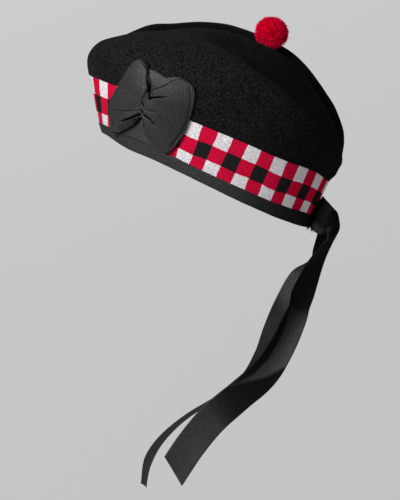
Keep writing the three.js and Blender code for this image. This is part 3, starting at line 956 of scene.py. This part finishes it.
def smooth_rows(rows, t):
    """Values on the smooth line through a table's rows, with t from 0 at the first row to 1 at the last."""
    rows = np.asarray(rows, dtype=float)
    place = t * (len(rows) - 1)
    i = np.minimum(place.astype(int), len(rows) - 2)
    f = (place - i)[:, None]
    before, start, end, after = (rows[np.clip(i + k, 0, len(rows) - 1)] for k in (-1, 0, 1, 2))
    ends = start * (1 + 2 * f) * (1 - f) ** 2 + end * f**2 * (3 - 2 * f)
    return ends + (end - before) / 2 * f * (1 - f) ** 2 - (after - start) / 2 * f**2 * (1 - f)


def strip_directions(rows, t, across):
    """The way along a strip, and the way across it made square to that."""
    ahead, behind = (smooth_rows(rows, np.clip(t + k, 0, 1))[:, :3] for k in (NUDGE, -NUDGE))
    along = unit(ahead - behind)
    return along, unit(across - np.sum(across * along, axis=1, keepdims=True) * along)


def hanging(rows):
    """Tail rows of x, y, z, turn, curl and width, with the turn made an across direction."""
    made = []
    for x, y, z, turn, curl, wide in rows:
        angle = math.radians(turn)
        made.append((x, y, z, math.cos(angle), math.sin(angle), 0, wide, curl))
    return made


# %% Lay a strip along its table
RIBBON_WIDTH, RIBBON_THICK = 26 * MM, 0.6 * MM
STRIP_ACROSS, STRIP_ALONG = 24, 220
CUT_FROM = 0.9
LINE_STEPS = 400
CREASE_FULL = 9
TURNED_SHADE = 0.65
# Painted highlight: a lip beside the tie where the painted shade is lifted
LIP = {
    "levels": (-4, 6),
    "from": (0.8, 0.3),
    "fade": 0.4,
    "below": (-20, -14),
    "above": (15, 11),
    "light": 0.9,
}


def lip_light(side, z):
    """The share of painted highlight on a strip's lip, along one edge beside the tie."""
    start = np.interp(z, LIP["levels"], LIP["from"])
    lip = eased(-side, start, start + LIP["fade"])
    return LIP["light"] * lip * eased(z, *LIP["below"]) * eased(z, *LIP["above"])


def lay_strip(name, rows, creases, shades, slant):
    """A creased grid along rows of x, y, z, the across direction, width and curl, in millimetres."""
    bpy.ops.object.select_all(action="DESELECT")
    bpy.ops.mesh.primitive_grid_add(x_subdivisions=STRIP_ACROSS, y_subdivisions=STRIP_ALONG, size=1)
    piece = bpy.context.object
    piece.name = piece.data.name = name
    grid = points_of(piece)
    side = 2 * grid[:, 0]
    t = np.clip(grid[:, 1] + 0.5, 0, 1)
    values = smooth_rows(rows, t)
    middle, z, width, curl = values[:, :3], values[:, 2], values[:, 6], values[:, 7]
    along, across = strip_directions(rows, t, values[:, 3:6])
    left_at, lift, right_at, sink = look_up(-z, creases)
    crease = sink * np.maximum(side - right_at, 0) - lift * np.maximum(left_at - side, 0)
    aside = width * side / 2
    out = curl * (1 - side**2) + crease
    cut = ramped(t, CUT_FROM, 1) ** 2 * side * slant
    outward = np.cross(across, along)
    points = middle + aside[:, None] * across + out[:, None] * outward + cut[:, None] * along
    set_points(piece, points * MM)

    line_t = np.linspace(0, 1, LINE_STEPS)
    run = run_along(smooth_rows(rows, line_t)[:, :3] * MM)
    metres = np.interp(t, line_t, run)
    set_uv(piece, np.stack([side * RIBBON_WIDTH / 2, metres], axis=1)[corners_of(piece)])
    # Painted shade from the table and on the turned edges, lifted along the lip as a painted highlight
    turned = (sink * (side > right_at) + lift * (side < left_at)) / CREASE_FULL
    (shade,) = look_up(-z, shades)
    shade *= 1 - lip_light(side, z)
    set_value(piece, "painted_shade", np.maximum(shade, TURNED_SHADE * np.clip(turned, 0, 1)))
    return piece, run[-1]


def ribbon_tail(name, rows, creases, shades, slant, node):
    """A tail with its thickness and finish."""
    piece, length = lay_strip(name, rows, creases, shades, slant)
    modify(piece, "SOLIDIFY", thickness=RIBBON_THICK, offset=0)
    dress(piece, GROSGRAIN, "ribbon", node)
    print(name, "is", round(length, 3), "m long")


# %% The nearer tail
# Painted shade for the knot and for the ribbon where it leaves the band
KNOT_SHADE = 0.78
LEFT_SLANT = 6
LEFT_BEND = [  # x, y, z, across direction, width, curl
    (13, 95, 17, 0, 0, 1, 26, 0),
    (17.5, 102, 14, 0.1, 0, 1, 25, -1.5),
    (19.5, 108.5, 10.5, 0.1, 0.3, 0.95, 24, -2.5),
    (18.5, 115.5, 11, -0.2, 0.65, 0.7, 12, -1.5),
    (17, 119, 1, -0.88, 0.35, 0.3, 16, 0),
    (15.5, 117.5, -10, -0.93, 0.35, 0, 21, 2),
]
LEFT_HANG = [  # x, y, z, turn, curl, width
    (15, 115.5, -27, 148, 2.5, 24.5),
    (15, 116, -52, 133, 2.5, 25.5),
    (16, 117, -64, 124, 2.5, 22.5),
    (17, 118, -77, 104, 2.5, 21.5),
    (20, 118, -101, 94, 2.5, 22),
    (24, 114, -126, 92, 2, 24.5),
    (30, 103, -151, 96, 1, 26),
    (35, 90, -177, 92, 0.5, 26),
    (38, 82, -204, 86, 0.5, 26),
    (40, 77, -232, 86, 0.5, 26),
]
LEFT_CREASES = [  # depth below the rim, left crease's place, its lift, right crease's place, its sink
    (50, -1, 0, 1, 0),
    (66, -0.55, 8, 1, 0),
    (93, -0.45, 9, 1, 0),
    (112, -0.45, 9, 1, 9),
    (122, -0.5, 8, 0.5, 9),
    (134, -0.55, 8, -0.05, 9),
    (146, -0.75, 5, -0.6, 8),
    (155, -1, 2, -1, 6),
    (176, -1, 0, -1, 0),
]
# depth below the rim, painted shade
LEFT_SHADES = [(0, KNOT_SHADE), (14, 0.55), (64, 0.62), (70, 0.08), (95, 0.08), (115, 0)]

left_rows = LEFT_BEND + hanging(LEFT_HANG)
ribbon_tail("ribbon_tail_left", left_rows, LEFT_CREASES, LEFT_SHADES, LEFT_SLANT, "tail_left")

# %% The farther tail
RIGHT_SLANT = 0
RIGHT_BEND = [
    (-13, 95, 13, 0, 0, 1, 24, 0),
    (-16, 101.5, 10, 0, 0.05, 1, 24, 1.5),
    (-16.5, 108, 7, 0.3, 0.3, 0.9, 22, 2),
    (-15, 109.5, 1, 0.75, -0.4, 0.4, 19, 1),
    (-13, 112, -8, 0.86, -0.45, 0.1, 21, 1),
]
RIGHT_HANG = [
    (-12, 113, -20, -18, 2, 24),
    (-12, 111, -33, 22, 2, 25),
    (-11, 109, -46, 56, 2, 26),
    (-8, 108, -70, 68, 2, 26),
    (-5, 107, -94, 55, 2, 26),
    (-1, 107, -118, 42, 2, 26),
    (3, 100, -142, 20, 1.5, 26),
    (8, 84, -166, 4, 1, 26),
    (12, 67, -191, 6, 1, 26),
    (15, 56, -216, 13, 1, 26),
    (17, 53, -238, 19, 1, 26),
    (19, 58, -258, 17, 1, 26),
]
NO_CREASES = [(0, 0, 0, 0, 0), (1, 0, 0, 0, 0)]
# depth below the rim, painted shade
RIGHT_SHADES = [(0, KNOT_SHADE), (24, 0.5), (36, 0), (62, 0), (76, 0.58), (150, 0.6), (175, 0.3)]

right_rows = RIGHT_BEND + hanging(RIGHT_HANG)
ribbon_tail("ribbon_tail_right", right_rows, NO_CREASES, RIGHT_SHADES, RIGHT_SLANT, "tail_right")

# %% [markdown]
# ## The knot
# Between the two bent ribbons the tie is drawn together in a small pleated bundle, sewn to the binding.
# The solid has its form, so its copy is only rounded and drawn in a little, to stay inside the ribbons.
# It lies deep in shade, so it takes one painted shade all over.

# %% Knot
KNOT_SHRINK = 1.2 * MM

knot = copy_of("tie_knot", "tie_bundle")
subdivide(knot, 2)
set_points(knot, points_of(knot) - KNOT_SHRINK * normals_of(knot))
knot_points = points_of(knot)
set_uv(knot, knot_points[:, [0, 2]][corners_of(knot)])
# Painted shade, the same all over
set_value(knot, "painted_shade", np.full(len(knot_points), KNOT_SHADE))
dress(knot, GROSGRAIN, "ribbon", "tie_knot")

# %% [markdown]
# ## The toorie
# The toorie is a pompom of red wool: hundreds of yarn ends tied at the middle and clipped to a ball. Each
# yarn end opens into a small lock of fibres. Blender's hair could grow them, but it would have to be made
# a mesh in the end. So the solid, drawn in a little, stays as the heart of the ball, painted dark as
# shade, and fine three-sided strands stand on it in locks, joined into one mesh from arrays. Each strand
# is painted darker towards its root, as shade deep in the ball. The ball is clipped a little flatter on
# top. Below, strands stop short of the felt, and the lowest run straight down to it, where the toorie is
# sewn on.

# %% Toorie finish
SHADED_YARN_ROOT = (0.55, 0.0008, 0.02, 1)
YARN_TIP = (1.0, 0.0015, 0.07, 1)


def yarn_finish():
    material, tree, shader = new_finish("red_yarn", roughness=0.9, specular=0.02)
    # Painted shade: the yarn darkens from its tips towards its roots, deep in the ball
    colour = blend_colours(tree, point_value(tree, "strand_reach"), SHADED_YARN_ROOT, YARN_TIP)
    colour = scale_colour(tree, colour, point_value(tree, "strand_tone"))
    tree.links.new(colour, shader.inputs["Base Color"])
    return material


YARN = yarn_finish()
print("finish", YARN.name)

# %% Toorie core
CORE_SHRINK = 1.5 * MM
# The heart takes almost the root colour, painted shade inside the ball
CORE_REACH, CORE_TONE = 0.15, 1.0

core = copy_of("toorie", "toorie_core")
set_points(core, points_of(core) - CORE_SHRINK * normals_of(core))
subdivide(core, 1)
set_value(core, "strand_reach", np.full(len(core.data.vertices), CORE_REACH))
set_value(core, "strand_tone", np.full(len(core.data.vertices), CORE_TONE))
dress(core, YARN, "pompom", "toorie")

# %% Grow strands
STRAND_RINGS, STRAND_SIDES = 4, 3
STRAND_TAPER = 0.65
UPRIGHT = 0.9


def spiral_directions(count):
    """Directions spread evenly over a ball on a spiral."""
    k = np.arange(count)
    z = 1 - (2 * k + 1) / count
    turn = k * math.pi * (3 - math.sqrt(5))
    girth = np.sqrt(1 - z**2)
    return np.stack([girth * np.cos(turn), girth * np.sin(turn), z], axis=1)


def grow_strands(name, roots, tips, sway, thick):
    """One piece of three-sided strands, bowed by sway, and how far along its strand each point lies."""
    heading = unit(tips - roots)
    spare = np.where(np.abs(heading[:, 2:]) < UPRIGHT, [[0, 0, 1.0]], [[1.0, 0, 0]])
    side = unit(np.cross(heading, spare))
    other = np.cross(heading, side)
    layers = []
    for t in np.linspace(0, 1, STRAND_RINGS):
        middle = roots + (tips - roots) * t + sway * (2 * t * (1 - t) + t * t / 2)
        size = thick * (1 - STRAND_TAPER * t)
        for turn in np.arange(STRAND_SIDES) * 2 * math.pi / STRAND_SIDES:
            layers.append(middle + size * (math.cos(turn) * side + math.sin(turn) * other))
    points = np.stack(layers, axis=1).reshape(-1, 3)
    faces = []
    for start in range(0, STRAND_SIDES * (STRAND_RINGS - 1), STRAND_SIDES):
        for c in range(STRAND_SIDES):
            low, beside = start + c, start + (c + 1) % STRAND_SIDES
            faces.append([low, beside, beside + STRAND_SIDES, low + STRAND_SIDES])
    first = np.arange(len(roots))[:, None, None] * len(layers)
    mesh = bpy.data.meshes.new(name)
    mesh.from_pydata(points.tolist(), [], (first + np.array(faces)).reshape(-1, 4).tolist())
    piece = bpy.data.objects.new(name, mesh)
    bpy.context.scene.collection.objects.link(piece)
    reach = np.tile(np.repeat(np.linspace(0, 1, STRAND_RINGS), STRAND_SIDES), len(roots))
    print(name, "has", len(roots), "strands")
    return piece, reach


# %% Toorie yarn
YARN_ENDS, FIBRES = 460, 15
STRAND_THICK, STRAND_SWAY = 0.17 * MM, 0.5 * MM
LOCK_SPREAD, FIBRE_SPREAD = 0.02, 0.045
ROOT_REACH, LOCK_REACH, FIBRE_REACH = 0.72, (1.02, 1.08), (0.95, 1.02)
TOP_CLIPPED = 0.1
NEAR_FELT, SEWN_DOWN = -0.62, -0.87
LONGEST_STRAND = 1.7
FELT_GAP = 0.3 * MM
LOCK_TONE, FIBRE_TONE = (0.75, 1.2), (0.85, 1.15)
LEAST_REACH = 0.25
YARN_SEED = 7

low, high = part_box("toorie")
heart = np.array((low + high) / 2)
ball_radius = (high.z - low.z) / 2
rng = np.random.default_rng(YARN_SEED)

ends = spiral_directions(YARN_ENDS)
ends = unit(ends + rng.normal(0, LOCK_SPREAD, ends.shape))
lock_reach = ball_radius * rng.uniform(*LOCK_REACH, YARN_ENDS)
lock_reach *= 1 - TOP_CLIPPED * np.maximum(ends[:, 2], 0)
strand_ends = np.repeat(ends, FIBRES, axis=0)
strand_ends = unit(strand_ends + rng.normal(0, FIBRE_SPREAD, strand_ends.shape))
strand_tops = np.repeat(lock_reach, FIBRES) * rng.uniform(*FIBRE_REACH, len(strand_ends))
roots = heart + strand_ends * ball_radius * ROOT_REACH
tips = heart + strand_ends * strand_tops[:, None]
for k in np.flatnonzero(strand_ends[:, 2] < NEAR_FELT):
    sewn = strand_ends[k, 2] < SEWN_DOWN
    heading = Vector((0, 0, -1)) if sewn else Vector(strand_ends[k])
    meets, place, _, _ = crown.ray_cast(Vector(roots[k]), heading)
    if meets and sewn:
        tips[k, 2] = max(place.z + FELT_GAP, heart[2] - LONGEST_STRAND * ball_radius)
    elif meets:
        to_felt = (place - Vector(heart)).length - FELT_GAP
        tips[k] = heart + strand_ends[k] * min(to_felt, strand_tops[k])
sway = rng.normal(0, STRAND_SWAY, roots.shape)
yarn, reach = grow_strands("toorie_yarn", roots, tips, sway, STRAND_THICK)
strand_tone = np.repeat(rng.uniform(*LOCK_TONE, YARN_ENDS), FIBRES)
strand_tone *= rng.uniform(*FIBRE_TONE, len(roots))
set_value(yarn, "strand_reach", LEAST_REACH + (1 - LEAST_REACH) * reach)
set_value(yarn, "strand_tone", np.repeat(strand_tone, STRAND_SIDES * STRAND_RINGS))
dress(yarn, YARN, "pompom")

# %% [markdown]
# ## Frayed threads
# Under the tie the raw end of the ribbon has frayed, and a few loose threads hang out of it. They grow
# like the toorie's strands, thicker and fewer, so the same helper makes them. They take the ribbon's
# finish and the shade of the knot that they hang from.

# %% Frayed threads
FRAY_FROM, FRAY_TO = np.array([14, 96.5, 3.5]) * MM, np.array([18, 102.5, 1.5]) * MM
FRAY_THREADS = 24
FRAY_HEADING, FRAY_SPREAD = np.array([0.1, 0.0, -1.0]), 0.45
FRAY_LENGTH = (2.5 * MM, 6 * MM)
FRAY_THICK, FRAY_SWAY = 0.45 * MM, 0.8 * MM

share = rng.uniform(0, 1, (FRAY_THREADS, 1))
fray_roots = FRAY_FROM + (FRAY_TO - FRAY_FROM) * share
fray_heading = unit(FRAY_HEADING + rng.normal(0, FRAY_SPREAD, fray_roots.shape))
fray_tips = fray_roots + fray_heading * rng.uniform(*FRAY_LENGTH, (FRAY_THREADS, 1))
fray_sway = rng.normal(0, FRAY_SWAY, fray_roots.shape)
frayed, reach = grow_strands("frayed_threads", fray_roots, fray_tips, fray_sway, FRAY_THICK)
set_uv(frayed, points_of(frayed)[:, [0, 2]][corners_of(frayed)])
# Painted shade, as on the knot
set_value(frayed, "painted_shade", np.full(len(reach), KNOT_SHADE))
dress(frayed, GROSGRAIN, "ribbon")

# %% [markdown]
# ## Studio
# A plain floor and a wall would show a line where they meet. So a pale bowl takes their place: flat under
# the cap and curved up all round, so that no horizon shows from any side. It glows by itself, a little
# more upwards and towards the cap's front, as the photograph's backdrop does. A large soft key light
# stands at the cap's front left and a weaker one low at its back left. The air gives a little light all
# round, more from the front and from below.

# %% Floor and backdrop
PAPER_LEVEL, PAPER_RISE, PAPER_FALL = 0.57, 0.035, 0.018
FLOOR_Z, FLOOR_RADIUS = -0.55, 3.4
BOWL_RADIUS, BOWL_STEPS, BOWL_SIDES = 1.2, 12, 96
WALL_HEIGHT = 2.5

bpy.ops.object.select_all(action="DESELECT")
bpy.ops.mesh.primitive_circle_add(
    vertices=BOWL_SIDES, radius=FLOOR_RADIUS, fill_type="NGON", location=(0, 0, FLOOR_Z)
)
bowl = bpy.context.object
bowl.name = "studio_bowl"
bpy.ops.object.transform_apply(location=True)
bpy.ops.object.mode_set(mode="EDIT")
bpy.ops.mesh.select_mode(type="EDGE")
radius, height = FLOOR_RADIUS, 0.0
for step in range(1, BOWL_STEPS + 2):
    angle = min(step, BOWL_STEPS) / BOWL_STEPS * math.pi / 2
    next_radius = FLOOR_RADIUS + BOWL_RADIUS * math.sin(angle)
    next_height = BOWL_RADIUS * (1 - math.cos(angle)) + (WALL_HEIGHT if step > BOWL_STEPS else 0)
    bpy.ops.mesh.extrude_edges_move()
    growth = next_radius / radius
    bpy.ops.transform.resize(value=(growth, growth, 1), center_override=(0, 0, 0))
    bpy.ops.transform.translate(value=(0, 0, next_height - height))
    radius, height = next_radius, next_height
bpy.ops.object.mode_set(mode="OBJECT")
bpy.ops.object.shade_smooth()
print("bowl faces", len(bowl.data.polygons))

# %% Paper finish
paper, tree, shader = new_finish("pale_paper", roughness=1.0, specular=0.0)
shader.inputs["Base Color"].default_value = grey(0)
shader.inputs["Emission Color"].default_value = grey(1, 1.01)
slope = {0: object_place(tree), 1: PAPER_RISE * view_up - PAPER_FALL * view_right}
rise = add_node(tree, "VectorMath", slope, operation="DOT_PRODUCT").outputs["Value"]
tree.links.new(sums(tree, "ADD", rise, PAPER_LEVEL), shader.inputs["Emission Strength"])
bowl.data.materials.append(paper)
bowl.visible_diffuse = False
bowl.visible_glossy = False
bowl.visible_shadow = False
print("finish", paper.name)

# %% Light
KEY = {"place": (1.73, -1.61, 0.43), "size": 1.2, "power": 67}
FILL = {"place": (1.2, 2.0, -0.35), "size": 1.0, "power": 14}
AIR = {"level": 0.13, "front": 0.09, "below": 0.08}


def soft_light(name, light):
    bpy.ops.object.light_add(type="AREA", location=light["place"])
    lamp = bpy.context.object
    lamp.name = name
    lamp.data.size = light["size"]
    lamp.data.energy = light["power"]
    lamp.rotation_euler = (-Vector(light["place"])).to_track_quat("-Z", "Y").to_euler()
    print(name, "at", light["place"])
    return lamp


soft_light("key_light", KEY)
soft_light("fill_light", FILL).visible_glossy = False
world = bpy.data.worlds.new("studio_air")
bpy.context.scene.world = world
world.use_nodes = True
air = world.node_tree
heading = add_node(air, "SeparateXYZ", {0: add_node(air, "TexCoord").outputs["Generated"]})
glow = sums(air, "MULTIPLY_ADD", heading.outputs["Y"], -AIR["front"], AIR["level"])
glow = sums(air, "MULTIPLY_ADD", heading.outputs["Z"], -AIR["below"], glow)
air.links.new(glow, air.nodes["Background"].inputs["Strength"])
air.nodes["Background"].inputs["Color"].default_value = grey(1)
bpy.context.scene.view_settings.view_transform = "Standard"

# %% [markdown]
# ## Camera
# The camera stands at the viewpoint. Its long lens keeps the cap's sides as parallel as they look in the
# photograph.

# %% Camera
CAMERA_LENS = 152.5

bpy.ops.object.camera_add(location=viewpoint)
camera = bpy.context.object
camera.name = "photo_camera"
camera.rotation_euler = Matrix((view_right, view_up, away)).transposed().to_euler()
camera.data.lens = CAMERA_LENS
bpy.context.scene.camera = camera
print(camera.name, "with a lens of", CAMERA_LENS, "mm")
